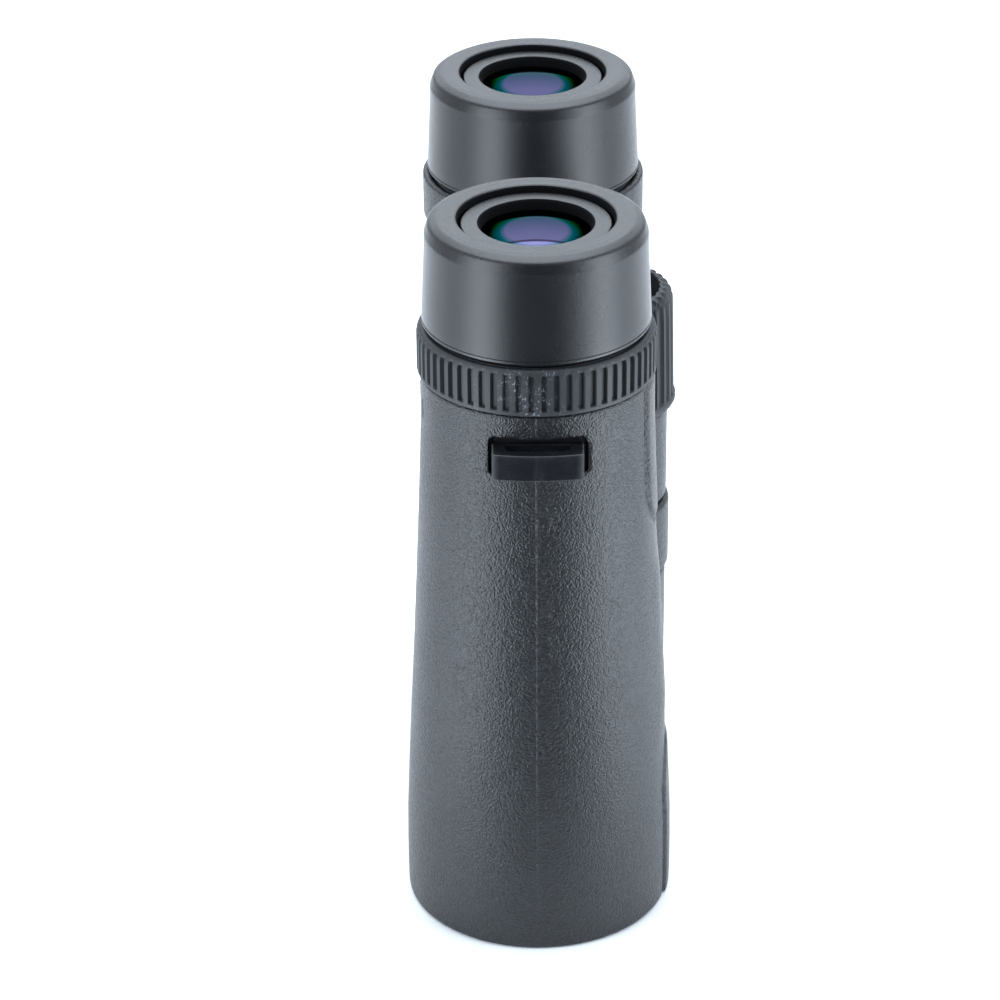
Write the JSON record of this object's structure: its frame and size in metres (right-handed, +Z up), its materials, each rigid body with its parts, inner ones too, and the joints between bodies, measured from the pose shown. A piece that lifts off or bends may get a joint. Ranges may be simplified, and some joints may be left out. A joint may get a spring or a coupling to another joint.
{
  "type": "binoculars",
  "caption": "Roof-prism binoculars in rubber armour, standing on their objectives, with folding hinge, focus wheel, dioptre ring, twist-up eyecups and strap lugs.",
  "frame": {"origin": "on the table, midway between the two barrels, with the binoculars open and standing on their objective ends", "axes": "+Z up towards the eyepieces; +X from the wearer's right barrel to the left one; -Y towards the side with the focus wheel"},
  "size_m": [0.127, 0.0542, 0.1454],
  "materials": {
    "armour": "leather grain",
    "eyecup_rubber": "satin",
    "grip_rubber": "ribbed",
    "black_plastic": "fine matt",
    "lug_plastic": "smooth satin",
    "black_metal": "black anodised",
    "steel": "turned",
    "brass": "turned",
    "coated_glass": "violet multi-coating",
    "clear_glass": "polished"
  },
  "bodies": {
    "left_barrel": {"left_body_shell": "black_plastic", "left_armour": "armour", "left_objective_front_lens": "coated_glass", "left_objective_rear_lens": "clear_glass", "left_objective_retaining_ring": "black_metal", "left_prism_cage": "black_metal", "left_auxiliary_prism": "clear_glass", "left_roof_prism": "clear_glass", "left_eyepiece_housing": "black_plastic", "left_eye_lens": "coated_glass", "left_eyepiece_bezel": "eyecup_rubber", "left_strap_lug": "lug_plastic", "left_ocular_cell": "black_metal", "left_field_lens": "clear_glass", "hinge_axle": "steel", "upper_hinge_washer": "brass", "lower_hinge_washer": "brass", "axle_lock_nut": "steel", "hinge_end_cap": "black_plastic"},
    "right_barrel": {"right_body_shell": "black_plastic", "right_armour": "armour", "right_objective_front_lens": "coated_glass", "right_objective_rear_lens": "clear_glass", "right_objective_retaining_ring": "black_metal", "right_prism_cage": "black_metal", "right_auxiliary_prism": "clear_glass", "right_roof_prism": "clear_glass", "right_eyepiece_housing": "black_plastic", "right_eye_lens": "coated_glass", "right_eyepiece_bezel": "eyecup_rubber", "right_strap_lug": "lug_plastic"},
    "focus_wheel": {"focus_wheel_hub": "black_metal", "focus_wheel_grip": "grip_rubber", "focus_wheel_cover": "black_plastic", "focus_screw": "brass"},
    "focus_drive": {"focus_drive_rod": "steel"},
    "dioptre_ring": {"dioptre_ring_core": "black_plastic", "dioptre_ring_grip": "grip_rubber"},
    "right_ocular": {"right_ocular_cell": "black_metal", "right_field_lens": "clear_glass"},
    "left_focus_carriage": {"left_focus_cell": "black_metal", "left_focus_arm": "black_metal", "left_focus_lens": "clear_glass"},
    "left_eyecup_turner": {"left_eyecup_click_collar": "black_plastic"},
    "left_eyecup": {"left_eyecup_shell": "black_plastic", "left_eyecup_rubber": "eyecup_rubber"},
    "right_focus_carriage": {"right_focus_cell": "black_metal", "right_focus_arm": "black_metal", "right_focus_lens": "clear_glass"},
    "right_eyecup_turner": {"right_eyecup_click_collar": "black_plastic"},
    "right_eyecup": {"right_eyecup_shell": "black_plastic", "right_eyecup_rubber": "eyecup_rubber"}
  },
  "joints": [
    {"name": "interpupillary_hinge", "type": "hinge", "parent": "left_barrel", "child": "right_barrel", "pos_m": [0, -0.013, 0.06], "axis": [0, 0, 1], "range_deg": [-50, 0]},
    {"name": "focus_wheel_turn", "type": "hinge", "parent": "left_barrel", "child": "focus_wheel", "pos_m": [0, -0.013, 0.1], "axis": [0, 0, 1], "range_deg": [-225, 225]},
    {"name": "focus_drive_slide", "type": "slide", "parent": "left_barrel", "child": "focus_drive", "axis": [0, 0, 1], "range_m": [-0.00225, 0.00225]},
    {"name": "dioptre_ring_turn", "type": "hinge", "parent": "right_barrel", "child": "dioptre_ring", "pos_m": [-0.03737, 0, 0.118], "axis": [0, 0, 1], "range_deg": [-50, 50]},
    {"name": "right_ocular_slide", "type": "slide", "parent": "right_barrel", "child": "right_ocular", "axis": [0, 0, 1], "range_m": [-0.001, 0.001]},
    {"name": "left_focus_slide", "type": "slide", "parent": "left_barrel", "child": "left_focus_carriage", "axis": [0, 0, 1], "range_m": [-0.00225, 0.00225]},
    {"name": "left_eyecup_twist", "type": "hinge", "parent": "left_barrel", "child": "left_eyecup_turner", "pos_m": [0.03737, 0, 0.13], "axis": [0, 0, 1], "range_deg": [0, 100]},
    {"name": "left_eyecup_rise", "type": "slide", "parent": "left_eyecup_turner", "child": "left_eyecup", "axis": [0, 0, 1], "range_m": [0, 0.008]},
    {"name": "right_focus_slide", "type": "slide", "parent": "right_barrel", "child": "right_focus_carriage", "axis": [0, 0, 1], "range_m": [-0.00225, 0.00225]},
    {"name": "right_eyecup_twist", "type": "hinge", "parent": "right_barrel", "child": "right_eyecup_turner", "pos_m": [-0.03737, 0, 0.13], "axis": [0, 0, 1], "range_deg": [0, 100]},
    {"name": "right_eyecup_rise", "type": "slide", "parent": "right_eyecup_turner", "child": "right_eyecup", "axis": [0, 0, 1], "range_m": [0, 0.008]}
  ],
  "couplings": [
    {"joint": "focus_drive_slide", "follows": "focus_wheel_turn", "m_per_rad": 0.000572},
    {"joint": "right_ocular_slide", "follows": "dioptre_ring_turn", "m_per_rad": 0.001145},
    {"joint": "left_focus_slide", "follows": "focus_wheel_turn", "m_per_rad": 0.000572},
    {"joint": "left_eyecup_rise", "follows": "left_eyecup_twist", "m_per_rad": 0.004583},
    {"joint": "right_focus_slide", "follows": "focus_wheel_turn", "m_per_rad": 0.000572},
    {"joint": "right_eyecup_rise", "follows": "right_eyecup_twist", "m_per_rad": 0.004583}
  ]
}
